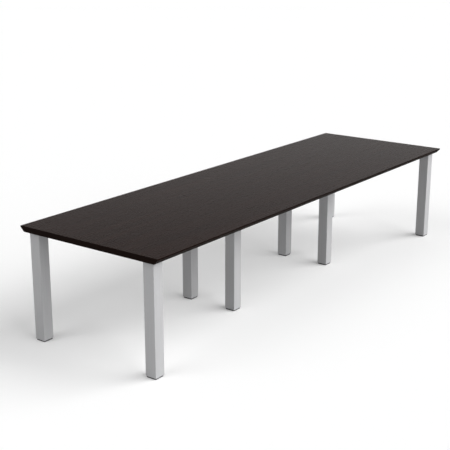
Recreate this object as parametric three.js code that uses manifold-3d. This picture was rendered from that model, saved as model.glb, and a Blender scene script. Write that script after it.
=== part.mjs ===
// A sectional conference table. Three dark veneered boards with reverse-bevelled long edges
// make one long top. It stands on eight square aluminium post legs with levelling feet:
// one leg at each corner and a set-back pair under each joint between two boards.
// Millimetres. X runs along the table, Y across it, and Z up from the floor.
import * as THREE from "three";
import { mergeVertices } from "three/addons/utils/BufferGeometryUtils.js";
import Module from "manifold-3d";

const wasm = await Module();
wasm.setup();

// Names of the places, from the near end (-X) to the far end (+X) and from front (-Y) to rear (+Y).
const SECTIONS = ["near", "middle", "far"];
const SIDES = { front: -1, rear: 1 };
const ENDS = { near: -1, far: 1 };

// Top
const TOP_LENGTH = 3600;
const TOP_WIDTH = 1100;
const TABLE_HEIGHT = 750;
const TOP_THICKNESS = 36;
const EDGE_FLAT = 8;
const BEVEL_INSET = 28;
const LIPPING_FOOT = 12;
const END_BAND_THICKNESS = 2;
const JOINT_GAP = 0.4;

// Joint hardware between two boards, placed from the long edges of the top
const CONNECTOR_EDGE_DISTANCE = 170;
const CONNECTOR_REACH = 60;
const ROD_RADIUS = 3;
const NUT_RADIUS = 6;
const NUT_HEIGHT = 5;
const POCKET_RADIUS = 17.5;
const SLOT_CLEARANCE = 2;
const CRESCENT_HEIGHT = 16;
const CRESCENT_THICKNESS = 11;
const DOWEL_EDGE_DISTANCE = 90;
const DOWEL_RADIUS = 5;
const DOWEL_LENGTH = 50;

// Legs
const LEG_SIZE = 78;
const LEG_WALL = 3;
const LEG_CORNER_RADIUS = 3;
const LEG_INSET = 25;
const INNER_LEG_SPACING = 370;

// Mounting plates, each with a spigot welded on that the leg slides over
const PLATE_THICKNESS = 5;
const PLATE_REACH = 60;
const PLATE_MARGIN = 10;
const PLATE_CORNER_RADIUS = 6;
const SPIGOT_HEIGHT = 60;
const SPIGOT_WALL = 4;
const SCREW_HOLE_RADIUS = 3;
const SCREW_EDGE_DISTANCE = 17;

// Levelling feet
const FLOOR_GAP = 9;
const PLUG_HEIGHT = 32;
const PAD_INSET = 4;
const PAD_CORNER_RADIUS = 3;
const PAD_FLOOR = 1.7;
const STUD_RADIUS = 5;
const STUD_LENGTH = 42;
const STUD_DISC_RIM = 3;
const HEX_RIM = 4;
const HEX_HEIGHT = 4.5;
const HEX_CLEARANCE = 1;

// Fits, how far a cutting tool runs past a face, and the segments in a quarter of each kind of round
const CLEARANCE = 0.3;
const OVERCUT = 1;
const QUARTER_LARGE = 5;
const QUARTER_SMALL = 3;
const QUARTER_HOLE = 2;
const WELD_DISTANCE = 1e-3;

// Places worked out from the sizes above
const UNDERSIDE = TABLE_HEIGHT - TOP_THICKNESS;
const BOARD_MIDDLE = TABLE_HEIGHT - TOP_THICKNESS / 2;
const RIM = TOP_WIDTH / 2;
const CORE_HALF = RIM - BEVEL_INSET - LIPPING_FOOT;
const CONNECTOR_Y = RIM - CONNECTOR_EDGE_DISTANCE;
const DOWEL_Y = RIM - DOWEL_EDGE_DISTANCE;
const SECTION_LENGTH = TOP_LENGTH / SECTIONS.length;
const PLATE_UNDERSIDE = UNDERSIDE - PLATE_THICKNESS;
const CORNER_LEG_X = TOP_LENGTH / 2 - LEG_INSET - LEG_SIZE / 2;
const CORNER_LEG_Y = RIM - BEVEL_INSET - LEG_INSET - LEG_SIZE / 2;
const INNER_LEG_Y = INNER_LEG_SPACING / 2;
const LEG_BORE = LEG_SIZE - 2 * LEG_WALL;
const INSERT_SIZE = LEG_BORE - 2 * CLEARANCE;
const PAD_TOP = FLOOR_GAP - CLEARANCE;
const PAD_HALF = LEG_SIZE / 2 - PAD_INSET;
const STUD_DISC_RADIUS = STUD_RADIUS + STUD_DISC_RIM;
const HEX_RADIUS = STUD_RADIUS + HEX_RIM;
const HEX_TOP = FLOOR_GAP + HEX_HEIGHT;

// Finishes
const finish = (color, roughness, metalness) =>
  new THREE.MeshStandardMaterial({ color, roughness, metalness });
const VENEER = finish(0x1d1512, 0.32, 0);
const LIPPING = finish(0x19110e, 0.35, 0);
const SILVER = finish(0xb4b5b8, 0.42, 0.6);
const STEEL = finish(0x3a3b3d, 0.5, 0.4);
const ZINC = finish(0xa9abad, 0.35, 0.9);
const BLACK_PLASTIC = finish(0x1b1b1c, 0.6, 0);
const GREY_NYLON = finish(0x2b2c2e, 0.65, 0);
const BEECH = finish(0xc9a878, 0.7, 0);

// Booleans on closed meshes
function solidOf(geometry) {
  const bare = new THREE.BufferGeometry().setAttribute("position", geometry.getAttribute("position"));
  bare.setIndex(geometry.index);
  const merged = mergeVertices(bare, WELD_DISTANCE);
  return new wasm.Manifold(
    new wasm.Mesh({
      numProp: 3,
      vertProperties: merged.attributes.position.array,
      triVerts: new Uint32Array(merged.index.array),
    }),
  );
}

function geometryOf(solid) {
  const mesh = solid.getMesh();
  const geometry = new THREE.BufferGeometry();
  geometry.setAttribute("position", new THREE.BufferAttribute(mesh.vertProperties, 3));
  geometry.setIndex(new THREE.BufferAttribute(mesh.triVerts, 1));
  geometry.computeVertexNormals();
  return geometry;
}

const cut = (blank, tools) =>
  geometryOf(tools.reduce((solid, tool) => solid.subtract(solidOf(tool)), solidOf(blank)));

const join = (pieces) =>
  geometryOf(pieces.slice(1).reduce((solid, piece) => solid.add(solidOf(piece)), solidOf(pieces[0])));

// Outlines
function rectangle(x0, y0, x1, y1) {
  const [left, right] = [Math.min(x0, x1), Math.max(x0, x1)];
  const [low, high] = [Math.min(y0, y1), Math.max(y0, y1)];
  return new THREE.Shape().moveTo(left, low).lineTo(right, low).lineTo(right, high).lineTo(left, high);
}

function roundedRectangle(x0, y0, x1, y1, radius) {
  const [left, right] = [Math.min(x0, x1) + radius, Math.max(x0, x1) - radius];
  const [low, high] = [Math.min(y0, y1) + radius, Math.max(y0, y1) - radius];
  const quarter = Math.PI / 2;
  return new THREE.Shape()
    .absarc(right, low, radius, -quarter, 0)
    .absarc(right, high, radius, 0, quarter)
    .absarc(left, high, radius, quarter, 2 * quarter)
    .absarc(left, low, radius, 2 * quarter, 3 * quarter);
}

const square = (size) => rectangle(-size / 2, -size / 2, size / 2, size / 2);
const circle = (x, y, radius) => new THREE.Shape().absarc(x, y, radius, 0, 2 * Math.PI);

function hexagon(radius) {
  const corners = Array.from({ length: 6 }, (_, i) => (i * Math.PI) / 3);
  return new THREE.Shape(corners.map((a) => new THREE.Vector2(radius * Math.cos(a), radius * Math.sin(a))));
}

// Solids from outlines: a prism stands on z0 and ends at z1.
// Each arc of its outline gets two segments for each of curveSegments.
function prism(shape, z0, z1, quarterSegments = QUARTER_SMALL) {
  const curveSegments = Math.max(1, Math.ceil(quarterSegments / 2));
  const options = { depth: z1 - z0, bevelEnabled: false, curveSegments };
  return new THREE.ExtrudeGeometry(shape, options).translate(0, 0, z0);
}

// A full circle is one arc, so it asks for the segments of four quarters.
const post = (x, y, radius, z0, z1, quarterSegments = QUARTER_SMALL) =>
  prism(circle(x, y, radius), z0, z1, 4 * quarterSegments);

// Turns a prism made on XY so that its outline lies on YZ and it runs along X.
const ALONG_X = new THREE.Matrix4().makeBasis(
  new THREE.Vector3(0, 1, 0),
  new THREE.Vector3(0, 0, 1),
  new THREE.Vector3(1, 0, 0),
);
const alongX = (geometry) => geometry.applyMatrix4(ALONG_X);

// Turns a profile of [radius, z] points about the Z axis.
function turned(profile, quarterSegments) {
  const points = profile.map(([radius, z]) => new THREE.Vector2(radius, z));
  return new THREE.LatheGeometry(points, 4 * quarterSegments).rotateX(Math.PI / 2);
}

function part(name, geometry, material) {
  const mesh = new THREE.Mesh(geometry, material.clone());
  mesh.name = name;
  return mesh;
}

// Joints between boards: their places along X, each named after the end that it is nearer to.
const JOINTS = Object.entries(ENDS).map(([name, end]) => ({ name, x: (end * SECTION_LENGTH) / 2 }));

// Pockets and a slot in the underside for a connector, with its middle at the joint.
function connectorRecess(x, y) {
  const top = BOARD_MIDDLE + CRESCENT_HEIGHT / 2 + CLEARANCE;
  const below = UNDERSIDE - OVERCUT;
  const slotHalf = ROD_RADIUS + SLOT_CLEARANCE;
  const slot = rectangle(x - CONNECTOR_REACH, y - slotHalf, x + CONNECTOR_REACH, y + slotHalf);
  const pocket = (end) => post(x + end * CONNECTOR_REACH, y, POCKET_RADIUS, below, top, QUARTER_LARGE);
  return [pocket(-1), pocket(1), prism(slot, below, top)];
}

function dowelHole(x, y) {
  const reach = DOWEL_LENGTH / 2 + CLEARANCE;
  return alongX(post(y, BOARD_MIDDLE, DOWEL_RADIUS + CLEARANCE, x - reach, x + reach));
}

const jointCuts = JOINTS.flatMap(({ x }) =>
  Object.values(SIDES).flatMap((side) => [
    ...connectorRecess(x, side * CONNECTOR_Y),
    dowelHole(x, side * DOWEL_Y),
  ]),
);

// Where a section starts and ends along X. The end bands and the hairline joints take their share.
function sectionSpan(index) {
  const start = -TOP_LENGTH / 2 + index * SECTION_LENGTH;
  const end = start + SECTION_LENGTH;
  const last = SECTIONS.length - 1;
  return [
    start + (index === 0 ? END_BAND_THICKNESS : JOINT_GAP / 2),
    end - (index === last ? END_BAND_THICKNESS : JOINT_GAP / 2),
  ];
}

function topPanel(index) {
  const [x0, x1] = sectionSpan(index);
  const board = prism(rectangle(x0, -CORE_HALF, x1, CORE_HALF), UNDERSIDE, TABLE_HEIGHT);
  return part(`top_panel_${SECTIONS[index]}`, cut(board, jointCuts), VENEER);
}

// Solid strip along a long edge: a flat under the top face, then a bevel that runs in to the underside.
function edgeLipping(index, sideName) {
  const side = SIDES[sideName];
  const [x0, x1] = sectionSpan(index);
  const outline = [
    [CORE_HALF, UNDERSIDE],
    [RIM - BEVEL_INSET, UNDERSIDE],
    [RIM, TABLE_HEIGHT - EDGE_FLAT],
    [RIM, TABLE_HEIGHT],
    [CORE_HALF, TABLE_HEIGHT],
  ].map(([y, z]) => new THREE.Vector2(side * y, z));
  const strip = alongX(prism(new THREE.Shape(outline), x0, x1));
  return part(`edge_lipping_${SECTIONS[index]}_${sideName}`, strip, LIPPING);
}

// Thin band on a square-cut end, with the outline of the whole top.
function endBand(endName) {
  const end = ENDS[endName];
  const outline = [
    [-RIM + BEVEL_INSET, UNDERSIDE],
    [RIM - BEVEL_INSET, UNDERSIDE],
    [RIM, TABLE_HEIGHT - EDGE_FLAT],
    [RIM, TABLE_HEIGHT],
    [-RIM, TABLE_HEIGHT],
    [-RIM, TABLE_HEIGHT - EDGE_FLAT],
  ].map(([y, z]) => new THREE.Vector2(y, z));
  const outer = (end * TOP_LENGTH) / 2;
  const inner = outer - end * END_BAND_THICKNESS;
  const band = alongX(prism(new THREE.Shape(outline), Math.min(inner, outer), Math.max(inner, outer)));
  return part(`end_band_${endName}`, band, LIPPING);
}

// Connector: a rod with a nut and a crescent washer at each end. The crescents bear on the pockets'
// walls and pull the two boards together.
function panelConnector(joint, sideName) {
  const seat = POCKET_RADIUS - CLEARANCE;
  const face = CONNECTOR_REACH - seat + CRESCENT_THICKNESS;
  const rodEnd = face + NUT_HEIGHT + CLEARANCE;
  const z0 = BOARD_MIDDLE - CRESCENT_HEIGHT / 2;
  const z1 = BOARD_MIDDLE + CRESCENT_HEIGHT / 2;
  const pieces = [alongX(post(0, BOARD_MIDDLE, ROD_RADIUS, -rodEnd, rodEnd))];
  for (const end of Object.values(ENDS)) {
    const disc = post(end * CONNECTOR_REACH, 0, seat, z0, z1, QUARTER_LARGE);
    const beyond = rectangle(end * face, -POCKET_RADIUS, end * (face + 2 * POCKET_RADIUS), POCKET_RADIUS);
    pieces.push(cut(disc, [prism(beyond, z0 - OVERCUT, z1 + OVERCUT)]));
    const nutSpan = [end * (face - OVERCUT), end * (face + NUT_HEIGHT)].sort((a, b) => a - b);
    pieces.push(alongX(prism(hexagon(NUT_RADIUS), ...nutSpan)).translate(0, 0, BOARD_MIDDLE));
  }
  const connector = part(`panel_connector_${joint.name}_${sideName}`, join(pieces), ZINC);
  connector.position.set(joint.x, SIDES[sideName] * CONNECTOR_Y, 0);
  return connector;
}

function alignmentDowel(joint, sideName) {
  const reach = DOWEL_LENGTH / 2 - CLEARANCE;
  const pin = alongX(post(0, BOARD_MIDDLE, DOWEL_RADIUS, -reach, reach));
  const dowel = part(`alignment_dowel_${joint.name}_${sideName}`, pin, BEECH);
  dowel.position.set(joint.x, SIDES[sideName] * DOWEL_Y, 0);
  return dowel;
}

// Leg column: a square aluminium extrusion with open ends.
function legColumn(place) {
  const half = LEG_SIZE / 2;
  const outline = roundedRectangle(-half, -half, half, half, LEG_CORNER_RADIUS);
  const bar = prism(outline, FLOOR_GAP, PLATE_UNDERSIDE);
  const bore = prism(square(LEG_BORE), FLOOR_GAP - OVERCUT, PLATE_UNDERSIDE + OVERCUT);
  return part(`leg_column_${place}`, cut(bar, [bore]), SILVER);
}

// A plate under the top with screw holes, and a square spigot that stands down into the leg.
function plateWithSpigot(place, outline, holes) {
  const foot = PLATE_UNDERSIDE - SPIGOT_HEIGHT;
  const plate = prism(outline, PLATE_UNDERSIDE, UNDERSIDE);
  const spigot = prism(square(INSERT_SIZE), foot, PLATE_UNDERSIDE + PLATE_THICKNESS / 2);
  const hollow = prism(square(INSERT_SIZE - 2 * SPIGOT_WALL), foot - OVERCUT, PLATE_UNDERSIDE);
  const drill = [PLATE_UNDERSIDE - OVERCUT, UNDERSIDE + OVERCUT, QUARTER_HOLE];
  const screwHoles = holes.map(([x, y]) => post(x, y, SCREW_HOLE_RADIUS, ...drill));
  return part(`mounting_plate_${place}`, cut(join([plate, spigot]), [hollow, ...screwHoles]), STEEL);
}

// At a corner the plate is flush with the leg's two outer faces and reaches inboard, out of sight.
function cornerPlate(place, end, side) {
  const outer = LEG_SIZE / 2;
  const inner = -(LEG_SIZE / 2 + PLATE_REACH);
  const outline = roundedRectangle(end * outer, side * outer, end * inner, side * inner, PLATE_CORNER_RADIUS);
  const flange = inner + SCREW_EDGE_DISTANCE;
  const along = outer - SCREW_EDGE_DISTANCE;
  const holes = [
    [flange, along],
    [flange, -along],
    [flange, flange],
    [-along, flange],
    [along, flange],
  ].map(([x, y]) => [end * x, side * y]);
  return plateWithSpigot(place, outline, holes);
}

// Under a joint the plate reaches both ways along the table and is screwed to both boards.
function jointPlate(place) {
  const x = LEG_SIZE / 2 + PLATE_REACH;
  const y = LEG_SIZE / 2 + PLATE_MARGIN;
  const outline = roundedRectangle(-x, -y, x, y, PLATE_CORNER_RADIUS);
  const holeX = x - SCREW_EDGE_DISTANCE;
  const holeY = y - SCREW_EDGE_DISTANCE;
  const holes = [-1, 1].flatMap((i) => [-1, 1].map((j) => [i * holeX, j * holeY]));
  return plateWithSpigot(place, outline, holes);
}

// Plug in the foot of a leg, tapped for the stud, with a recess that takes the stud's hexagon.
function footPlug(place) {
  const top = FLOOR_GAP + PLUG_HEIGHT;
  const below = FLOOR_GAP - OVERCUT;
  const block = prism(square(INSERT_SIZE), FLOOR_GAP, top);
  const bore = post(0, 0, STUD_RADIUS + CLEARANCE, below, top + OVERCUT);
  const recess = post(0, 0, HEX_RADIUS + HEX_CLEARANCE, below, HEX_TOP + CLEARANCE, QUARTER_LARGE);
  return part(`foot_plug_${place}`, cut(block, [bore, recess]), BLACK_PLASTIC);
}

// Stud: a disc that swivels in the pad, a hexagon for the spanner, and the thread.
function levellingStud(place) {
  const stem = turned(
    [
      [0, PAD_FLOOR + CLEARANCE],
      [STUD_DISC_RADIUS, PAD_FLOOR + CLEARANCE],
      [STUD_DISC_RADIUS, PAD_TOP - CLEARANCE],
      [STUD_RADIUS, PAD_TOP],
      [STUD_RADIUS, HEX_TOP + STUD_LENGTH],
      [0, HEX_TOP + STUD_LENGTH],
    ],
    QUARTER_SMALL,
  );
  const hex = prism(hexagon(HEX_RADIUS), FLOOR_GAP, HEX_TOP);
  return part(`levelling_stud_${place}`, join([stem, hex]), ZINC);
}

// Pad: a square nylon foot, set in from the leg's faces, with a socket for the stud's disc.
function glidePad(place) {
  const outline = roundedRectangle(-PAD_HALF, -PAD_HALF, PAD_HALF, PAD_HALF, PAD_CORNER_RADIUS);
  const block = prism(outline, 0, PAD_TOP);
  const socket = post(0, 0, STUD_DISC_RADIUS + CLEARANCE, PAD_FLOOR, PAD_TOP + OVERCUT, QUARTER_LARGE);
  return part(`glide_pad_${place}`, cut(block, [socket]), GREY_NYLON);
}

// One leg with its plate and foot, standing at its own place.
function legAssembly(place, x, y, plate) {
  const assembly = new THREE.Group();
  assembly.add(plate, legColumn(place), footPlug(place), levellingStud(place), glidePad(place));
  assembly.position.set(x, y, 0);
  return assembly;
}

const table = new THREE.Group();
table.name = "conference_table";

SECTIONS.forEach((_, index) => {
  table.add(topPanel(index));
  for (const sideName of Object.keys(SIDES)) table.add(edgeLipping(index, sideName));
});

for (const [endName, end] of Object.entries(ENDS)) {
  table.add(endBand(endName));
  for (const [sideName, side] of Object.entries(SIDES)) {
    const place = `${endName}_${sideName}`;
    table.add(legAssembly(place, end * CORNER_LEG_X, side * CORNER_LEG_Y, cornerPlate(place, end, side)));
  }
}

for (const joint of JOINTS) {
  for (const [sideName, side] of Object.entries(SIDES)) {
    const place = `inner_${joint.name}_${sideName}`;
    table.add(panelConnector(joint, sideName), alignmentDowel(joint, sideName));
    table.add(legAssembly(place, joint.x, side * INNER_LEG_Y, jointPlate(place)));
  }
}

export default table;
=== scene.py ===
# %% [markdown]
# # A long conference table
# Three dark boards in a row, with bevelled long edges, stand on eight square aluminium legs.
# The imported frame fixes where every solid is. This lesson adds what the eye looks for when it
# comes closer: eased arrises, rolled threads, screw heads, and finishes with their own grain.
# All lengths are in metres, and each piece takes its place from the frame.

# %% The frame
import math

import bmesh
import bpy
import numpy as np
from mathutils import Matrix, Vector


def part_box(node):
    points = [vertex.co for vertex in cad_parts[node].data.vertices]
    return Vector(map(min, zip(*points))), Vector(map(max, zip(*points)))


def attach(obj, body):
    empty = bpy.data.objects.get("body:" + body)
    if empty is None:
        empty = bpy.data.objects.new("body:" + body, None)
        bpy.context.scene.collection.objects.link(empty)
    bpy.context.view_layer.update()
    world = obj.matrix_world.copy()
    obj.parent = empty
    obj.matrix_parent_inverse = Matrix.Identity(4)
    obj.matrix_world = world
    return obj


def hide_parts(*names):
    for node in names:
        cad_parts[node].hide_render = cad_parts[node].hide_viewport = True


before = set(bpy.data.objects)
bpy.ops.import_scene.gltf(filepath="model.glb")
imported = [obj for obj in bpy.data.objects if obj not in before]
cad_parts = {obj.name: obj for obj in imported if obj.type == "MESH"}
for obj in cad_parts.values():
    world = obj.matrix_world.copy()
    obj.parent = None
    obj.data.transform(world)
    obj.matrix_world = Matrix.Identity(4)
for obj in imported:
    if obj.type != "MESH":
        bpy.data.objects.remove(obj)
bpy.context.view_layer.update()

places = [name.removeprefix("leg_column_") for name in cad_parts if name.startswith("leg_column_")]
places.sort()

# %% [markdown]
# ## Surfaces from arrays
# Almost every piece of this table is a flat outline that is carried somewhere: a square that runs
# up a leg, a bevelled section that runs along an edge, a circle that turns about a foot. So a few
# array functions make them all. The first one rounds the corners of an outline, because a real
# edge is never a perfect corner: it is eased by a tool, and the small arc catches the light.

# %% Outlines with eased corners
MM = 0.001
LEAD = 0.3 * MM
ARC_STEPS = 5
QUARTER_TURN = np.array([[0.0, -1.0], [1.0, 0.0]])


def crossed(a, b):
    """How far the flat direction b turns from a: the sine of the angle between them."""
    return a[:, 0] * b[:, 1] - a[:, 1] * b[:, 0]


def eased(corners, radius, steps=ARC_STEPS):
    """Rounds the corners of a polygon given counter-clockwise. An arc's centre is where the two sides
    meet once both have moved in by the radius, and its points are the centre plus the radius times a
    normal that swings from one side's to the next. A lead point before and after each arc keeps the
    flat sides flat under smooth shading. Returns the points and their outward normals."""
    corner = np.array(corners, float)
    side = np.roll(corner, -1, 0) - corner
    ahead = side / np.linalg.norm(side, axis=1, keepdims=True)
    behind = np.roll(ahead, 1, 0)
    first, last = behind @ QUARTER_TURN, ahead @ QUARTER_TURN
    lean = np.sum(first * last, axis=1)
    reach = (np.sign(crossed(behind, ahead)) * np.broadcast_to(radius, len(corner)))[:, None]
    centre = corner - reach * (first + last) / (1 + lean)[:, None]
    start, swing = np.arctan2(first[:, 1], first[:, 0]), np.arctan2(crossed(first, last), lean)
    angle = start[:, None] + swing[:, None] * np.linspace(0, 1, steps + 1)
    normal = np.stack([np.cos(angle), np.sin(angle)], -1)
    arc = centre[:, None] + reach[:, None] * normal
    before, after = arc[:, :1] - LEAD * behind[:, None], arc[:, -1:] + LEAD * ahead[:, None]
    points = np.concatenate([before, arc, after], 1)
    normals = np.concatenate([normal[:, :1], normal, normal[:, -1:]], 1)
    return points.reshape(-1, 2), normals.reshape(-1, 2)


demo_points, _ = eased([(0, 0), (1, 0), (1, 1), (0, 1)], 0.1)
print("A square with eased corners has", len(demo_points), "points")

# %% [markdown]
# The next functions turn outlines into grids of points. A carried outline is drawn in by the
# profile's inset at each height, and a stick runs straight along the table. Each returns a grid:
# rows along one parameter, columns round the outline.

# %% Grids of points
def carried(points, normals, profile):
    """An outline carried up Z: point (row, column) is the outline's point less the profile's inset
    times the outline's normal, at the profile's height."""
    inset, height = profile[:, 0, None, None], profile[:, 1, None, None]
    flat = points[None] - inset * normals[None]
    return np.concatenate([flat, np.broadcast_to(height, flat.shape[:2] + (1,))], -1)


def stick(ring, start, end):
    """A ring of (y, z) points carried straight along X, with each end closed by a fan to its middle."""
    middle = np.broadcast_to(ring.mean(0), ring.shape)
    flat = np.stack([middle, ring, ring, middle])
    along = np.broadcast_to(np.array([start, start, end, end])[:, None, None], flat.shape[:2] + (1,))
    return np.concatenate([along, flat], -1)


print("A unit stick is a grid of", stick(demo_points, 0, 1).shape)

# %% [markdown]
# Blender wants corners and faces. A grid's faces follow from counting, so they come from whole
# arrays too. The signed volume tells whether they look outwards, and if it is negative they are
# turned round. Where a row has shrunk to a point, its doubles are merged and the pole closes.

# %% From grids to pieces
MERGE_DISTANCE = 0.002 * MM
SHARP_ANGLE = math.radians(38)


def shell(points, closed_rows=False):
    """A grid's corners and faces. Columns always close. The faces are put in the order that makes the
    signed volume, a sixth of the sum of a . (b x c) over their triangles, positive."""
    rows, columns = points.shape[:2]
    row, column = np.meshgrid(np.arange(rows - (not closed_rows)), np.arange(columns), indexing="ij")
    below, beside = (row + 1) % rows, (column + 1) % columns
    faces = np.stack([row * columns + column, row * columns + beside,
                      below * columns + beside, below * columns + column], -1).reshape(-1, 4)
    corners = points.reshape(-1, 3)
    a, b, c, d = np.moveaxis(corners[faces] - corners.mean(0), 1, 0)
    volume = np.sum(a * np.cross(b, c)) + np.sum(a * np.cross(c, d))
    return corners, faces if volume > 0 else faces[:, ::-1]


def make_piece(name, shells, finish, body, slot, *replaced):
    """Joins shells into one mesh with its poles merged, gives it its finish, and seats it on its
    body."""
    first = np.cumsum([0] + [len(corners) for corners, _ in shells])
    corners = np.concatenate([corners for corners, _ in shells])
    faces = np.concatenate([faces + start for (_, faces), start in zip(shells, first)])
    mesh = bpy.data.meshes.new(name)
    mesh.from_pydata(corners.tolist(), [], faces.tolist())
    merged = bmesh.new()
    merged.from_mesh(mesh)
    bmesh.ops.remove_doubles(merged, verts=merged.verts, dist=MERGE_DISTANCE)
    merged.to_mesh(mesh)
    merged.free()
    mesh.shade_smooth()
    mesh.set_sharp_from_angle(angle=SHARP_ANGLE)
    mesh.materials.append(finish)
    piece = bpy.data.objects.new(name, mesh)
    bpy.context.scene.collection.objects.link(piece)
    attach(piece, body)
    if replaced:
        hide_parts(*replaced)
    return piece


print("Faces sharper than", round(math.degrees(SHARP_ANGLE)), "degrees keep a crisp edge")

# %% [markdown]
# ## Finishes
# A finish is a small tree of nodes. Colours are written as they look on a screen, and one
# function turns them to the linear light that shaders work in. Patterns are stretched noise, with
# each stretch given as a real size in millimetres on the object, so that grain stays grain in
# any view. One function adds a node with its settings and links.

# %% Colour, nodes and speckle
MIX_FACTOR, MIX_A, MIX_B, MIX_RESULT = 0, 6, 7, 2
LINEAR_LIMIT, LINEAR_SLOPE = 0.04045, 12.92
SCREEN_OFFSET, SCREEN_POWER = 0.055, 2.4
SPECKLE_RANGE = (0.3, 0.7)  # most of a noise's values lie between these


def linear(code):
    """An sRGB hex colour as linear light: a straight line near black, and a power of 2.4 above it."""
    screen = np.array([int(code[start:start + 2], 16) for start in (1, 3, 5)]) / 255
    curve = ((screen + SCREEN_OFFSET) / (1 + SCREEN_OFFSET)) ** SCREEN_POWER
    light = np.where(screen <= LINEAR_LIMIT, screen / LINEAR_SLOPE, curve)
    return (*(float(part) for part in light), 1.0)


def node(tree, kind, inputs=(), **settings):
    """Adds one node, with its settings, and fills its inputs with values or with links."""
    made = tree.nodes.new("ShaderNode" + kind)
    for name, value in settings.items():
        setattr(made, name, value)
    for name, value in dict(inputs).items():
        if isinstance(value, bpy.types.NodeSocket):
            tree.links.new(value, made.inputs[name])
        else:
            made.inputs[name].default_value = value
    return made


def speckle(tree, size_mm, detail=3.0):
    """Noise in the object's own coordinates, whose spots are about size_mm along X, Y and Z."""
    where = node(tree, "TexCoord").outputs["Object"]
    scale = tuple(1 / (side * MM) for side in size_mm)
    scaled = node(tree, "Mapping", {"Vector": where, "Scale": scale}).outputs["Vector"]
    return node(tree, "TexNoise", {"Vector": scaled, "Scale": 1.0, "Detail": detail}).outputs["Fac"]


def new_finish(name, metallic=0.0, roughness=0.5, ior=1.5):
    """A material with its constants on the shader's own sockets. A metal keeps the default IOR."""
    finish = bpy.data.materials.new(name)
    finish.use_nodes = True
    shader = finish.node_tree.nodes["Principled BSDF"]
    shader.inputs["Metallic"].default_value = metallic
    shader.inputs["Roughness"].default_value = roughness
    if not metallic:
        shader.inputs["IOR"].default_value = ior
    return finish, finish.node_tree, shader


print("Espresso brown in linear light:", [round(part, 4) for part in linear("#1d1512")])

# %% [markdown]
# ### The dark boards
# The top is oak veneer stained to an espresso brown and sprayed with satin lacquer. Close up it
# has a slow figure, fibres that run the length of the table and short dark pores; from a few
# steps away it is an even dark brown that greys towards the far end, where the lacquer mirrors
# the room. The grey is left to the shader's own reflection, and only the wood is drawn here.

# %% Stained oak veneer, satin lacquer
STAIN_DARK, STAIN_LIGHT, STAIN_PORE = "#1d0f0a", "#281711", "#100704"
LACQUER_IOR = 1.5
LACQUER_ROUGHNESS = (0.24, 0.32)
FIGURE_MM = (900, 45, 45)
FIBRE_MM = (260, 5, 5)  # real fibres are a tenth as wide; they are coarsened to show in the picture
PORE_MM = (24, 1.1, 1.1)
FIGURE_DETAIL, FIBRE_DETAIL, PORE_DETAIL = 2.0, 4.0, 1.0
TONE_RANGE, PORE_RANGE, PORE_STRENGTH = (0.12, 0.40), (0.60, 0.70), 0.55
GRAIN_DEPTH, VENEER_RELIEF = 0.05 * MM, 0.12


def across(size_mm):
    """The same stretched spots for a strip whose grain runs across the table, along Y."""
    return (size_mm[1], size_mm[0], size_mm[2])


def stained_oak(tree, turn=tuple):
    """Colour, roughness and normal of the stained and lacquered veneer, as sockets."""
    figure = speckle(tree, turn(FIGURE_MM), FIGURE_DETAIL)
    fibre = speckle(tree, turn(FIBRE_MM), FIBRE_DETAIL)
    pore = speckle(tree, turn(PORE_MM), PORE_DETAIL)
    tone = node(tree, "Math", {0: figure, 1: fibre}, operation="MULTIPLY").outputs[0]
    share = node(tree, "MapRange", {"Value": tone, "From Min": TONE_RANGE[0],
                                    "From Max": TONE_RANGE[1]}).outputs[0]
    wood = node(tree, "Mix", {MIX_FACTOR: share, MIX_A: linear(STAIN_DARK), MIX_B: linear(STAIN_LIGHT)},
                data_type="RGBA").outputs[MIX_RESULT]
    open_pore = node(tree, "MapRange", {"Value": pore, "From Min": PORE_RANGE[0],
                                        "From Max": PORE_RANGE[1], "To Max": PORE_STRENGTH}).outputs[0]
    colour = node(tree, "Mix", {MIX_FACTOR: open_pore, MIX_A: wood, MIX_B: linear(STAIN_PORE)},
                  data_type="RGBA").outputs[MIX_RESULT]
    sheen = node(tree, "MapRange", {"Value": fibre, "From Min": SPECKLE_RANGE[0],
                                    "From Max": SPECKLE_RANGE[1], "To Min": LACQUER_ROUGHNESS[0],
                                    "To Max": LACQUER_ROUGHNESS[1]}).outputs[0]
    relief = node(tree, "Math", {0: fibre, 1: open_pore}, operation="SUBTRACT").outputs[0]
    normal = node(tree, "Bump", {"Height": relief, "Strength": VENEER_RELIEF,
                                 "Distance": GRAIN_DEPTH}).outputs["Normal"]
    return colour, sheen, normal


def satin_veneer(name):
    """The veneer alone, as on the upper face of the lippings."""
    finish, tree, shader = new_finish(name, ior=LACQUER_IOR)
    for socket, value in zip(("Base Color", "Roughness", "Normal"), stained_oak(tree)):
        tree.links.new(value, shader.inputs[socket])
    return finish


veneer_finish = satin_veneer("stained_oak_veneer_satin_lacquer")
print("Made", veneer_finish.name)

# %% [markdown]
# The edges are darker than the face: solid oak takes more stain where it is planed, and it is
# sealed with a matt coat that hardly mirrors the pale floor. So they share the veneer's grain,
# with a darker colour range, a dull surface and a weak reflection.

# %% Stained oak edges, matt sealer
EDGE_DARK, EDGE_LIGHT = "#0f0704", "#1a0e0a"
SEALER_ROUGHNESS, SEALER_REFLECTION, EDGE_RELIEF = 0.7, 0.05, 0.2


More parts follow.
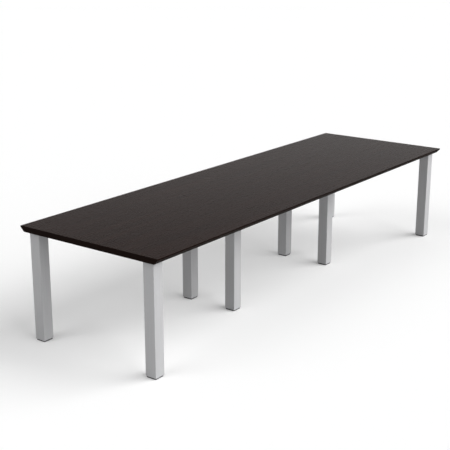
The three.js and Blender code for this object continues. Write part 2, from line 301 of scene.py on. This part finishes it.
def matt_edge(name, turn=tuple):
    """Edge wood: fibres along the strip between two dark stains, under a dull sealer."""
    finish, tree, shader = new_finish(name, roughness=SEALER_ROUGHNESS, ior=LACQUER_IOR)
    shader.inputs["Specular IOR Level"].default_value = SEALER_REFLECTION
    fibre = speckle(tree, turn(FIBRE_MM), FIBRE_DETAIL)
    share = node(tree, "MapRange", {"Value": fibre, "From Min": SPECKLE_RANGE[0],
                                    "From Max": SPECKLE_RANGE[1]}).outputs[0]
    colour = node(tree, "Mix", {MIX_FACTOR: share, MIX_A: linear(EDGE_DARK), MIX_B: linear(EDGE_LIGHT)},
                  data_type="RGBA").outputs[MIX_RESULT]
    normal = node(tree, "Bump", {"Height": fibre, "Strength": EDGE_RELIEF,
                                 "Distance": GRAIN_DEPTH}).outputs["Normal"]
    tree.links.new(colour, shader.inputs["Base Color"])
    tree.links.new(normal, shader.inputs["Normal"])
    return finish


lipping_finish = matt_edge("stained_oak_lipping_matt_sealer")
band_finish = matt_edge("stained_oak_end_band_matt_sealer", across)
print("Made", lipping_finish.name, "and", band_finish.name)

# %% [markdown]
# A board is a sandwich: veneer on the upper face, chipboard in the middle, and a plain dark foil
# below that keeps it from bowing. The middle only shows in the pockets that are cut from below.
# The board's own height tells the layers apart, so one finish serves the whole solid.

# %% The board and its layers
FOIL, CHIP_DARK, CHIP_LIGHT = "#17110f", "#6f5236", "#b39468"
FOIL_ROUGHNESS, CHIP_ROUGHNESS = 0.5, 0.9
CHIP_MM = (5, 5, 1.6)
LAYER = 0.6 * MM
board_low, board_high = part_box("top_panel_middle")


def layered_board():
    """Veneer above, foil below and chipboard between, chosen by the height in the board."""
    finish, tree, shader = new_finish("stained_oak_board_satin_lacquer", ior=LACQUER_IOR)
    colour, sheen, normal = stained_oak(tree)
    where = node(tree, "TexCoord").outputs["Object"]
    height = node(tree, "SeparateXYZ", {"Vector": where}).outputs["Z"]
    veneer = node(tree, "Math", {0: height, 1: board_high.z - LAYER},
                  operation="GREATER_THAN").outputs[0]
    core = node(tree, "Math", {0: height, 1: board_low.z + LAYER},
                operation="GREATER_THAN").outputs[0]
    chips = node(tree, "Mix", {MIX_FACTOR: speckle(tree, CHIP_MM), MIX_A: linear(CHIP_DARK),
                               MIX_B: linear(CHIP_LIGHT)}, data_type="RGBA").outputs[MIX_RESULT]
    inside = node(tree, "Mix", {MIX_FACTOR: core, MIX_A: linear(FOIL), MIX_B: chips},
                  data_type="RGBA").outputs[MIX_RESULT]
    shown = node(tree, "Mix", {MIX_FACTOR: veneer, MIX_A: inside, MIX_B: colour},
                 data_type="RGBA").outputs[MIX_RESULT]
    dull = node(tree, "MapRange", {"Value": core, "To Min": FOIL_ROUGHNESS,
                                   "To Max": CHIP_ROUGHNESS}).outputs[0]
    rough = node(tree, "Mix", {0: veneer, 2: dull, 3: sheen}).outputs[0]
    for socket, value in (("Base Color", shown), ("Roughness", rough), ("Normal", normal)):
        tree.links.new(value, shader.inputs[socket])
    return finish


def dress(nodes, finish):
    """Gives CAD nodes that stay as they are a finish in place of their plain one."""
    for name in nodes:
        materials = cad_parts[name].data.materials
        materials.clear()
        materials.append(finish)


boards = [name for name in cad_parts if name.startswith("top_panel_")]
dress(boards, layered_board())
print("Dressed", boards)

# %% [markdown]
# ### Metal, nylon and beech
# The legs are extruded aluminium, etched and anodised in satin silver: bright, with no mirror in
# it, and with faint lines drawn by the die along the leg. The etched oxide scatters most of the
# light, as a paint would, so the shader is only slightly metallic. Plates are powder-coated
# steel, which shows a slight orange peel. Fasteners are zinc-plated, with a patchy cool sheen.
# Plugs and pads are moulded nylon with an eroded grain, and the hidden dowels are plain beech.

# %% Two-tone finishes with relief
TWO_TONE_RELIEF = 0.3
# Aluminium, extruded and anodised: an even silver with a soft sheen and faint lines along the leg.
ANODISED = dict(colours=("#b6b6b7", "#c3c3c5"), size_mm=(1.2, 1.2, 700), metallic=0.15,
                roughness=(0.46, 0.54), relief_mm=0.01)
# Steel, powder coated: nearly black, and slightly uneven like the skin of an orange.
POWDER_COAT = dict(colours=("#17181a", "#212325"), size_mm=(1.4, 1.4, 1.4),
                   roughness=(0.42, 0.55), relief_mm=0.04)
# Steel, zinc plated: a cool bright metal with duller and paler patches.
ZINC = dict(colours=("#9fa4aa", "#c4c6c6"), size_mm=(2.5, 2.5, 2.5), metallic=1.0,
            roughness=(0.28, 0.42), relief_mm=0.005)
# Nylon, moulded in black: dull, with the fine grain of an eroded mould.
PLUG_NYLON = dict(colours=("#141516", "#1e1f20"), size_mm=(0.5, 0.5, 0.5),
                  roughness=(0.55, 0.7), relief_mm=0.02)
# Nylon, moulded in dark grey: duller and coarser, so that the foot reads as a dark line.
PAD_NYLON = dict(colours=("#2a2b2d", "#3b3c3d"), size_mm=(0.8, 0.8, 0.8),
                 roughness=(0.6, 0.75), relief_mm=0.02)
# Beech, turned: pale and matt, with short fibres along the dowel.
BEECH = dict(colours=("#b98f5f", "#d3b184"), size_mm=(18, 0.9, 0.9),
             roughness=(0.6, 0.75), relief_mm=0.03)


def two_tone(name, colours, size_mm, roughness, relief_mm, metallic=0.0):
    """A finish whose colour, gloss and fine relief all follow one speckle of a real size."""
    finish, tree, shader = new_finish(name, metallic)
    spots = speckle(tree, size_mm)
    share = node(tree, "MapRange", {"Value": spots, "From Min": SPECKLE_RANGE[0],
                                    "From Max": SPECKLE_RANGE[1]}).outputs[0]
    colour = node(tree, "Mix", {MIX_FACTOR: share, MIX_A: linear(colours[0]),
                                MIX_B: linear(colours[1])}, data_type="RGBA").outputs[MIX_RESULT]
    gloss = node(tree, "MapRange", {"Value": share, "To Min": roughness[0],
                                    "To Max": roughness[1]}).outputs[0]
    normal = node(tree, "Bump", {"Height": spots, "Strength": TWO_TONE_RELIEF,
                                 "Distance": relief_mm * MM}).outputs["Normal"]
    for socket, value in (("Base Color", colour), ("Roughness", gloss), ("Normal", normal)):
        tree.links.new(value, shader.inputs[socket])
    return finish


anodised = two_tone("anodised_aluminium_extruded_satin", **ANODISED)
powder_coat = two_tone("powder_coated_steel_black", **POWDER_COAT)
zinc = two_tone("zinc_plated_steel", **ZINC)
plug_nylon = two_tone("moulded_nylon_black", **PLUG_NYLON)
pad_nylon = two_tone("moulded_nylon_grey", **PAD_NYLON)
beech = two_tone("turned_beech", **BEECH)
plates = [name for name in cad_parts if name.startswith("mounting_plate_")]
dress(plates, powder_coat)
dress([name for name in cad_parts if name.startswith("alignment_dowel_")], beech)
print("Dressed", len(plates), "plates and the dowels")

# %% [markdown]
# ## The edge of the top
# Along both sides runs a solid lipping: a narrow flat under the top face, then a bevel that runs
# in to the underside, which makes the board look thin. It could be a bevelled cube, but a section
# that is carried along the table gives each arris its own radius: the top one is barely
# broken, and the one between the flat and the bevel is rounder, where a plane has passed over it.

# %% Lippings
EDGE_FLAT = 8 * MM
LIPPING_FOOT = 12 * MM
FOOT_ARRIS, FLAT_ARRIS, TOP_ARRIS = 1.2 * MM, 2.0 * MM, 1.2 * MM
UPRIGHT = 0.99


def lipping_grid(low, high):
    """The lipping's section, carried from one end of its board to the other."""
    inner, rim = sorted((abs(low.y), abs(high.y)))
    section = [(inner, low.z), (inner + LIPPING_FOOT, low.z), (rim, high.z - EDGE_FLAT), (rim, high.z),
               (inner, high.z)]
    ring, _ = eased(section, np.array([0, FOOT_ARRIS, FLAT_ARRIS, TOP_ARRIS, 0]))
    return stick(ring * (math.copysign(1, low.y + high.y), 1), low.x, high.x)


def veneer_top(piece):
    """Gives the faces that look straight up the veneer in place of the edge's finish."""
    mesh = piece.data
    mesh.materials.append(veneer_finish)
    upward = np.empty(3 * len(mesh.polygons), np.float32)
    mesh.polygons.foreach_get("normal", upward)
    mesh.polygons.foreach_set("material_index", (upward[2::3] > UPRIGHT).astype(np.int32))


for name in [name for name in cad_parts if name.startswith("edge_lipping_")]:
    strip = make_piece(name.removeprefix("edge_"), [shell(lipping_grid(*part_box(name)))], lipping_finish,
                       "table", "espresso_lipping", name)
    veneer_top(strip)
    print(strip.name, "has", len(strip.data.polygons), "faces")

# %% [markdown]
# The square-cut ends are closed by a thin band with the outline of the whole top. Its outer face
# is eased all round, so it is an outline that is drawn in along a quarter circle as it comes out.

# %% End bands
BAND_EASE = 0.8 * MM
EASE_STEPS = 4


def quarter_ease(ease):
    """Inset and outward height of a quarter circle, from the side of a piece to its face."""
    angle = np.linspace(0, np.pi / 2, EASE_STEPS + 1)
    return np.stack([ease * (1 - np.cos(angle)), ease * (np.sin(angle) - 1)], -1)


def band_grid(low, high, foot):
    """The end's outline carried out along X, drawn in at its face, with both faces closed by fans."""
    outline = [(-foot, low.z), (foot, low.z), (high.y, high.z - EDGE_FLAT), (high.y, high.z),
               (low.y, high.z), (low.y, high.z - EDGE_FLAT)]
    arris = [FOOT_ARRIS, FOOT_ARRIS, FLAT_ARRIS, TOP_ARRIS, TOP_ARRIS, FLAT_ARRIS]
    points, normals = eased(outline, np.array(arris))
    thickness = high.x - low.x
    rim = quarter_ease(BAND_EASE) + (0, thickness)
    profile = np.concatenate([[(0, 0), (0, rim[0, 1] - LEAD)], rim, [(BAND_EASE + LEAD, thickness)]])
    side = carried(points, normals, profile)
    middle = np.broadcast_to((*points.mean(0), 0), side[:1].shape)
    grid = np.concatenate([middle, side, middle + (0, 0, thickness)])
    out = math.copysign(1, low.x)
    wall = low.x if out > 0 else high.x
    return np.stack([wall + out * grid[..., 2], grid[..., 0], grid[..., 1]], -1)


bevel_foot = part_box("edge_lipping_middle_rear")[0].y + LIPPING_FOOT
for name in [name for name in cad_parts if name.startswith("end_band_")]:
    face = shell(band_grid(*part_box(name), bevel_foot))
    band = make_piece(name.removeprefix("end_"), [face], band_finish, "table", "espresso_lipping", name)
    print(band.name, "is", round(bevel_foot * 2, 3), "m wide at its foot")

# %% [markdown]
# ## The legs
# A leg is a length of square extrusion with small outer radii and a wall of a few millimetres.
# A cube with a bevel would be solid; here the wall's own section, with its saw-cut ends
# deburred, is carried round the square, so that the leg is a real tube from below as well.

# %% Leg tubes
LEG_WALL, LEG_CORNER, SAW_EASE = 3 * MM, 3 * MM, 0.4 * MM
LEG_ARC_STEPS, SAW_STEPS = 8, 3


def square_of(low, high):
    """The four corners of a box seen from above, counter-clockwise."""
    return [(low.x, low.y), (high.x, low.y), (high.x, high.y), (low.x, high.y)]


def leg_grid(low, high):
    """The wall's rounded section carried round the leg's rounded square."""
    points, normals = eased(square_of(low, high), LEG_CORNER, LEG_ARC_STEPS)
    wall = [(0, low.z), (LEG_WALL, low.z), (LEG_WALL, high.z), (0, high.z)]
    return carried(points, normals, eased(wall, SAW_EASE, SAW_STEPS)[0])


for place in places:
    tube = shell(leg_grid(*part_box(f"leg_column_{place}")), closed_rows=True)
    leg = make_piece(f"leg_{place}", [tube], anodised, "table", "silver_anodised",
                     f"leg_column_{place}")
print("Each leg has", len(leg.data.polygons), "faces")

# %% [markdown]
# ## Plates and their screws
# Each leg hangs on a steel plate under the top. Pan-head wood screws with a cross recess hold the
# plate. A screw head is one grid in radius and angle: a low dome, less two crossed slots whose
# walls slope a little, as the driver's tip does. Every head stops at its own angle.

# %% Screw heads
SCREW_EDGE = 17 * MM
HEAD_RADIUS, HEAD_HEIGHT = 5.0 * MM, 2.6 * MM
SLOT_WIDTH, SLOT_LENGTH, SLOT_DEPTH, SLOT_SLOPE = 1.3 * MM, 5.4 * MM, 1.5 * MM, 0.5 * MM
DOME_FALL, DOME_POWER = 0.75, 4
HEAD_ROWS, HEAD_COLUMNS = 14, 48
GOLDEN_TURN = math.pi * (3 - math.sqrt(5))


def slot_depth(across_slot, along_slot):
    """Depth of one slot: full inside its width and length, and sloping to nothing at its rim."""
    inside = np.minimum(SLOT_WIDTH / 2 - np.abs(across_slot), SLOT_LENGTH / 2 - np.abs(along_slot))
    return SLOT_DEPTH * np.clip(inside / SLOT_SLOPE + 0.5, 0, 1)


def screw_grid(x, y, z, turn):
    """A head that hangs under z: the dome falls with the fourth power of the radius, the crossed slots
    are taken out of it, and a last row closes its back against the plate."""
    radius = HEAD_RADIUS * np.linspace(0, 1, HEAD_ROWS)[:, None]
    angle = np.linspace(0, 2 * np.pi, HEAD_COLUMNS, endpoint=False)[None]
    dome = HEAD_HEIGHT * (1 - DOME_FALL * (radius / HEAD_RADIUS) ** DOME_POWER)
    u, v = radius * np.cos(angle), radius * np.sin(angle)
    drop = dome - np.maximum(slot_depth(u, v), slot_depth(v, u))
    head = np.stack([x + radius * np.cos(angle + turn), y + radius * np.sin(angle + turn), z - drop],
                    -1)
    rim = head[-1:] * (1, 1, 0) + (0, 0, z)
    return np.concatenate([head, rim, np.broadcast_to((x, y, z), rim.shape)])


def screw_spots(place):
    """Where the screws of one plate sit, as the plate's edges and the leg's edges give it."""
    plate_low, plate_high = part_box(f"mounting_plate_{place}")
    leg_low, leg_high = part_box(f"leg_column_{place}")
    plate, leg = np.array((plate_low, plate_high)), np.array((leg_low, leg_high))
    if place.startswith("inner"):
        middle, half = plate.mean(0), (plate[1] - plate[0]) / 2
        inset = (plate - middle) * (1 - SCREW_EDGE / half) + middle
        return [(x, y) for x in inset[:, 0] for y in inset[:, 1]]
    centre = leg.mean(0)
    inboard = -np.sign(centre)
    far = np.where(inboard > 0, plate[1], plate[0]) - inboard * SCREW_EDGE
    beside = (leg[1] - leg[0]) / 2 - SCREW_EDGE
    return [(far[0], far[1]), *((far[0], centre[1] + s * beside[1]) for s in (-1, 1)),
            *((centre[0] + s * beside[0], far[1]) for s in (-1, 1))]


for place in places:
    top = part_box(f"leg_column_{place}")[1].z
    heads = [shell(screw_grid(x, y, top, k * GOLDEN_TURN))
             for k, (x, y) in enumerate(screw_spots(place))]
    screws = make_piece(f"plate_screws_{place}", heads, zinc, "table", "zinc_steel")
    print(screws.name, "holds", len(heads), "screws")

# %% [markdown]
# ## The feet
# A nylon plug closes the foot of each leg and carries a threaded stud, which stands in a pad.
# Turning the stud by its hexagon lifts or lowers the leg. The plug is a square outside and round
# inside, so its rows change from the square to circles on the way round. Points are added along
# the square's sides first, because the circles take their directions from them.

# %% Foot plugs
PLUG_EASE, PLUG_CORNER = 0.8 * MM, 1.2 * MM
BORE_RADIUS, RECESS_RADIUS, RECESS_RISE, RECESS_EASE = 5.3 * MM, 10 * MM, 4.8 * MM, 0.5 * MM
SIDE_POINTS = 11


def eased_square(low, high, corner):
    """A box's square with eased corners and evenly spaced points between them, with outward normals."""
    points, normals = (flat.reshape(4, -1, 2) for flat in eased(square_of(low, high), corner))
    share = np.linspace(0, 1, SIDE_POINTS + 2)[1:-1, None]
    side = np.roll(points[:, :1], -1, 0) - points[:, -1:]
    points = np.concatenate([points, points[:, -1:] + share * side], 1)
    normals = np.concatenate([normals, np.repeat(normals[:, -1:], SIDE_POINTS, 1)], 1)
    return points.reshape(-1, 2), normals.reshape(-1, 2)


def rings_inside(points, rings):
    """Rings of (radius, height): each point lies at its radius from the outline's middle, in the
    direction of one of the outline's points."""
    centre = points.mean(0)
    outward = (points - centre) / np.linalg.norm(points - centre, axis=1, keepdims=True)
    flat = centre + rings[:, 0, None, None] * outward
    return np.concatenate([flat, np.broadcast_to(rings[:, 1, None, None], flat.shape[:2] + (1,))], -1)


def plug_grid(low, high):
    """Square rows down the plug's side and round its eased foot, then rings into the recess, up to the
    bore and back to the top."""
    points, normals = eased_square(low, high, PLUG_CORNER)
    foot = quarter_ease(PLUG_EASE) * (1, -1) + (0, low.z)
    side = carried(points, normals, np.concatenate([[(0, high.z), (0, foot[0, 1] + LEAD)], foot]))
    rings = np.array([(RECESS_RADIUS + RECESS_EASE, low.z), (RECESS_RADIUS, low.z + RECESS_EASE),
                      (RECESS_RADIUS, low.z + RECESS_RISE), (BORE_RADIUS, low.z + RECESS_RISE),
                      (BORE_RADIUS, high.z)])
    return np.concatenate([side, rings_inside(points, rings)])


for place in places:
    block = shell(plug_grid(*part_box(f"foot_plug_{place}")), closed_rows=True)
    plug = make_piece(f"plug_{place}", [block], plug_nylon, "table", "black_plug",
                      f"foot_plug_{place}")
print("Each plug has", len(plug.data.polygons), "faces")

# %% [markdown]
# The stud is one grid in height and angle. Its radius is a disc, then a hexagon with the round
# chamfer that turning leaves on it, then a thread: a flat-topped wave along the height
# whose phase moves on by one pitch in each turn, so the wave closes on itself as a helix.

# %% Threaded studs
STUD_RADIUS, DISC_RADIUS, HEX_ACROSS, HEX_RISE = 5 * MM, 8 * MM, 15.6 * MM, 4.5 * MM
DISC_EASE, COLLAR_GAP = 0.4 * MM, 0.3 * MM
PITCH, THREAD_DEPTH, CREST, ROOT = 1.5 * MM, 0.92 * MM, 0.125, 0.25
ROWS_PER_PITCH, HEX_ROWS, STUD_COLUMNS = 10, 13, 36
CHAMFER_SLOPE, CHAMFER_START = 1.73, 7.4 * MM


def thread_depth(height, angle, pitch, depth):
    """Depth of a right-hand thread: 0 on the crest's flat, full on the root's, straight flanks between.
    The phase is the height in pitches less the angle in turns."""
    phase = (height / pitch - angle / (2 * np.pi)) % 1
    return depth * np.clip((np.abs(2 * phase - 1) - CREST) / (1 - CREST - ROOT), 0, 1)


def stud_grid(low, high, floor_gap):
    """Radius over height and angle: disc, hexagon cut by its chamfer, then thread, with a pole at each
    end."""
    angle = np.linspace(0, 2 * np.pi, STUD_COLUMNS, endpoint=False)[None]
    disc_top = floor_gap - 2 * COLLAR_GAP
    disc = np.array([(0, low.z), (DISC_RADIUS - DISC_EASE, low.z), (DISC_RADIUS, low.z + DISC_EASE),
                     (DISC_RADIUS, disc_top - DISC_EASE), (DISC_RADIUS - DISC_EASE, disc_top),
                     (STUD_RADIUS, disc_top + COLLAR_GAP), (STUD_RADIUS, floor_gap)])
    hex_height = floor_gap + HEX_RISE * np.linspace(0, 1, HEX_ROWS)[:, None]
    edge = np.minimum(hex_height - floor_gap, floor_gap + HEX_RISE - hex_height)
    flats = HEX_ACROSS / 2 / np.cos(angle % (np.pi / 3) - np.pi / 6)
    hexagon = np.minimum(flats, CHAMFER_START + CHAMFER_SLOPE * edge)
    start = floor_gap + HEX_RISE
    count = round((high.z - floor_gap - HEX_RISE) / PITCH * ROWS_PER_PITCH)
    thread_height = np.linspace(start, high.z, count)[:, None]
    fade = np.clip((high.z - thread_height) / PITCH, 0, 1)
    thread = STUD_RADIUS - np.maximum(thread_depth(thread_height, angle, PITCH, THREAD_DEPTH),
                                      (1 - fade) * THREAD_DEPTH)
    radius = np.concatenate([np.broadcast_to(disc[:, :1], (len(disc), STUD_COLUMNS)), hexagon, thread,
                             np.zeros((1, STUD_COLUMNS))])
    height = np.concatenate([disc[:, 1:], hex_height, thread_height, [[high.z]]])
    x, y = (low.x + high.x) / 2, (low.y + high.y) / 2
    return np.stack([x + radius * np.cos(angle), y + radius * np.sin(angle),
                     np.broadcast_to(height, radius.shape)], -1)


for place in places:
    leg_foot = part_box(f"leg_column_{place}")[0].z
    screw = shell(stud_grid(*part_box(f"levelling_stud_{place}"), leg_foot))
    stud = make_piece(f"stud_{place}", [screw], zinc, f"stud_{place}", "zinc_steel",
                      f"levelling_stud_{place}")
print("Each stud has", len(stud.data.polygons), "faces")

# %% [markdown]
# The pad is a square foot, set in a little from the leg's faces, which makes the dark line that
# is seen under every leg. It is a block with a quarter circle at both faces, and its top runs
# in to a round socket for the stud's disc.

# %% Glide pads
PAD_CORNER, PAD_EASE = 3 * MM, 0.8 * MM
SOCKET_RADIUS, SOCKET_FLOOR, SOCKET_EASE = 8.3 * MM, 1.7 * MM, 0.3 * MM


def drawn_in(points, normals, low, high, ease):
    """An outline carried from low to high and drawn in by a quarter circle at both faces, which fans
    close."""
    upper = quarter_ease(ease) + (0, high)
    lower = (quarter_ease(ease) * (1, -1) + (0, low))[::-1]
    side = carried(points, normals, np.concatenate([lower, upper]))
    middle = np.broadcast_to((*points.mean(0), 0), side[:1].shape)
    return np.concatenate([middle + (0, 0, low), side, middle + (0, 0, high)])


def pad_grid(low, high):
    """An eased block whose closing fan is replaced by rings: over the top, down the socket's wall and
    in to the pole of its floor."""
    points, normals = eased_square(low, high, PAD_CORNER)
    block = drawn_in(points, normals, low.z, high.z, PAD_EASE)[:-1]
    socket = np.array([(SOCKET_RADIUS + SOCKET_EASE, high.z), (SOCKET_RADIUS, high.z - SOCKET_EASE),
                       (SOCKET_RADIUS, SOCKET_FLOOR), (0, SOCKET_FLOOR)])
    return np.concatenate([block, rings_inside(points, socket)])


for place in places:
    foot = shell(pad_grid(*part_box(f"glide_pad_{place}")))
    pad = make_piece(f"pad_{place}", [foot], pad_nylon, f"foot_{place}", "grey_nylon",
                     f"glide_pad_{place}")
print("Each pad has", len(pad.data.polygons), "faces")

# %% [markdown]
# ## Connectors under the joints
# Two boards are pulled together from below by a rod with a nut and a crescent washer at each end,
# lying in a pocket. The rod is threaded near its ends only, and the crescents are slices of a
# disc: an outline of an arc and a chord, carried up with a quarter circle at each face.

# %% Connectors
ROD_RADIUS, ROD_PITCH, ROD_DEPTH, ROD_PLAIN = 3 * MM, 1 * MM, 0.6 * MM, 28 * MM
ROD_ROWS_PER_PITCH, ROD_COLUMNS = 8, 24
NUT_ACROSS, NUT_HEIGHT, NUT_EASE, NUT_SIDES = 10.4 * MM, 5 * MM, 0.5 * MM, 6
CRESCENT_THICKNESS, CRESCENT_EASE, CRESCENT_CORNER = 11 * MM, 0.6 * MM, 0.9 * MM
CRESCENT_POINTS, CONNECTOR_STEPS = 15, 2


def rod_grid(reach):
    """A rod along X whose radius is a thread beyond its plain middle, with a pole at each end."""
    along = np.linspace(-reach, reach, round(2 * reach / ROD_PITCH * ROD_ROWS_PER_PITCH))[:, None]
    angle = np.linspace(0, 2 * np.pi, ROD_COLUMNS, endpoint=False)[None]
    threaded = np.clip((np.abs(along) - ROD_PLAIN) / ROD_PITCH, 0, 1)
    radius = ROD_RADIUS - threaded * thread_depth(along, angle, ROD_PITCH, ROD_DEPTH)
    radius[[0, -1]] = 0
    return np.stack([np.broadcast_to(along, radius.shape), radius * np.cos(angle),
                     radius * np.sin(angle)], -1)


def connector_shells(low, high):
    """A rod, and at each end a nut and a crescent, about the middle of the connector's box."""
    centre, half = np.array((low + high) / 2), np.array((high - low) / 2)
    shells = [shell(rod_grid(half[0]) + centre)]
    seat = half[1]
    chord = half[0] - COLLAR_GAP - NUT_HEIGHT
    disc_at = chord + seat - CRESCENT_THICKNESS
    spread = math.acos((chord - disc_at) / seat)
    angle = np.linspace(spread, 2 * np.pi - spread, CRESCENT_POINTS)
    arc = np.stack([disc_at + seat * np.cos(angle), seat * np.sin(angle)], -1)
    outline = eased(arc, CRESCENT_CORNER, CONNECTOR_STEPS)
    crescent = drawn_in(*outline, -half[2], half[2], CRESCENT_EASE)
    turn = np.arange(NUT_SIDES) * 2 * np.pi / NUT_SIDES
    corner = NUT_ACROSS / math.sqrt(3) * np.stack([np.cos(turn), np.sin(turn)], -1)
    outline = eased(corner, NUT_EASE, CONNECTOR_STEPS)
    nut = drawn_in(*outline, chord, chord + NUT_HEIGHT, NUT_EASE)[..., [2, 0, 1]]
    for end in (-1, 1):
        shells += [shell(crescent * (end, 1, 1) + centre), shell(nut * (end, 1, 1) + centre)]
    return shells


for name in [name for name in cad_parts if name.startswith("panel_connector_")]:
    connector = make_piece(name.removeprefix("panel_"), connector_shells(*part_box(name)), zinc, "table",
                           "zinc_steel", name)
    print(connector.name, "has", len(connector.data.polygons), "faces")

# %% [markdown]
# ## Floor, light and camera
# A plain pale floor runs out to the horizon, so it is the whole background. To the eye and to
# mirrors it is nearly white and glows a little, which keeps the broad shadow light without putting
# more light on the table; close to a foot the glow fades, so that the leg still stands in a dark
# contact shadow. What the floor throws back onto the table is that of a grey one, so that the
# legs keep a darker side.
# The room is dim above and brightens towards the horizon. A lacquered top mirrors exactly that:
# it is nearly black where one looks down on it, and it greys where one looks along it.

# %% Floor and room
FLOOR_COLOUR, FLOOR_BOUNCE, FLOOR_HALF = "#fbfbfb", "#a6a6a6", 150.0
GLOW_SHARE = 0.35
CONTACT_REACH, CONTACT_SAMPLES = 0.15, 8
ROOM_LEVEL, HORIZON_LEVEL = 0.05, 1.0
BAND_FROM, BAND_TO = math.radians(2), math.radians(16)

floor_mesh = bpy.data.meshes.new("floor")
floor_corners = [(x * FLOOR_HALF, y * FLOOR_HALF, 0) for x, y in ((-1, -1), (1, -1), (1, 1), (-1, 1))]
floor_mesh.from_pydata(floor_corners, [], [(0, 1, 2, 3)])
floor = bpy.data.objects.new("floor", floor_mesh)
bpy.context.scene.collection.objects.link(floor)
floor_finish, floor_tree, floor_shader = new_finish("pale_studio_floor", roughness=1.0)
floor_shader.inputs["Specular IOR Level"].default_value = 0.0
seen = node(floor_tree, "LightPath").outputs
looks = node(floor_tree, "Math", {0: seen["Is Camera Ray"], 1: seen["Is Glossy Ray"]},
             operation="ADD").outputs[0]
looks = node(floor_tree, "Math", {0: looks, 1: seen["Is Transmission Ray"]}, operation="ADD").outputs[0]
tone = node(floor_tree, "Mix", {MIX_FACTOR: looks, MIX_A: linear(FLOOR_BOUNCE),
                                MIX_B: linear(FLOOR_COLOUR)}, data_type="RGBA").outputs[MIX_RESULT]
floor_tree.links.new(tone, floor_shader.inputs["Base Color"])
clear = node(floor_tree, "AmbientOcclusion", {"Distance": CONTACT_REACH},
             samples=CONTACT_SAMPLES).outputs["AO"]
share = node(floor_tree, "Math", {0: clear, 1: GLOW_SHARE}, operation="MULTIPLY").outputs[0]
share = node(floor_tree, "Math", {0: looks, 1: share}, operation="MULTIPLY", use_clamp=True).outputs[0]
glow = node(floor_tree, "Emission", {"Color": linear(FLOOR_COLOUR)}).outputs[0]
lifted = node(floor_tree, "MixShader", {0: share, 1: floor_shader.outputs[0], 2: glow}).outputs[0]
floor_tree.links.new(lifted, floor_tree.nodes["Material Output"].inputs["Surface"])
floor_mesh.materials.append(floor_finish)

room = bpy.data.worlds.new("studio_room")
room.use_nodes = True
bpy.context.scene.world = room
ray = node(room.node_tree, "TexCoord").outputs["Generated"]
ray_height = node(room.node_tree, "SeparateXYZ", {"Vector": ray}).outputs["Z"]
level = node(room.node_tree, "MapRange", {"Value": ray_height, "From Min": math.sin(BAND_FROM),
             "From Max": math.sin(BAND_TO), "To Min": HORIZON_LEVEL, "To Max": ROOM_LEVEL},
             interpolation_type="SMOOTHSTEP").outputs[0]
backdrop = room.node_tree.nodes["Background"]
backdrop.inputs["Color"].default_value = (1, 1, 1, 1)
room.node_tree.links.new(level, backdrop.inputs["Strength"])
bpy.context.scene.view_settings.view_transform = "Standard"
print("The floor is", 2 * FLOOR_HALF, "m across")

# %% [markdown]
# Four sun lamps with large discs stand in for softboxes: one overhead, one in front, one at the
# front right and one off the near end. Suns are used because they light the far end of a long
# table as strongly as the near one. The end lamp stands a little behind the table, so that the
# top shades the inner legs from it and only the near legs catch it. The low lamps are kept out
# of mirrors, as a softbox is flagged so that it doesn't bleach a polished top from the other side.

# %% Soft lamps
LAMPS = {
    "overhead": dict(azimuth=0, elevation=90, spread=100, level=0.09, mirrored=True),
    "front_key": dict(azimuth=0, elevation=28, spread=46, level=0.57, mirrored=False),
    "right_key": dict(azimuth=45, elevation=42, spread=40, level=0.67, mirrored=False),
    "end_fill": dict(azimuth=-110, elevation=40, spread=40, level=0.28, mirrored=False),
}


def soft_sun(name, azimuth, elevation, spread, level, mirrored):
    """A sun lamp with a wide disc. A surface that faces it receives level times pi, so a white one
    would show that level. Azimuth 0 shines along +Y, and 90 along -X. Only a mirrored lamp is seen
    in glossy surfaces."""
    lamp = bpy.data.lights.new(name, "SUN")
    lamp.angle = math.radians(spread)
    lamp.energy = level * math.pi
    holder = bpy.data.objects.new(name, lamp)
    holder.rotation_euler = (math.radians(90 - elevation), 0, math.radians(azimuth))
    holder.visible_glossy = mirrored
    bpy.context.scene.collection.objects.link(holder)


for name, lamp in LAMPS.items():
    soft_sun(name, **lamp)
print("Lamps:", list(LAMPS))

# %% [markdown]
# The camera stands at the near corner and looks down the table's length. Its place, turn and
# lens were solved from the straight edges of the table, so the picture needs no shift.

# %% Camera
CAMERA_PLACE = (-5.69848, -3.91193, 2.47604)
CAMERA_AZIMUTH, CAMERA_DOWN = -53.340, 16.573
CAMERA_LENS, CAMERA_SENSOR = 79.06, 36.0

view = bpy.data.cameras.new("view")
view.lens, view.sensor_width = CAMERA_LENS, CAMERA_SENSOR
view.clip_end = 4 * FLOOR_HALF
camera = bpy.data.objects.new("view", view)
camera.location = CAMERA_PLACE
camera.rotation_euler = (math.radians(90 - CAMERA_DOWN), 0, math.radians(CAMERA_AZIMUTH))
bpy.context.scene.collection.objects.link(camera)
bpy.context.scene.camera = camera
camera_distance = math.dist(CAMERA_PLACE, (0, 0, board_high.z))
print("The camera stands", round(camera_distance, 2), "m from the table's middle")
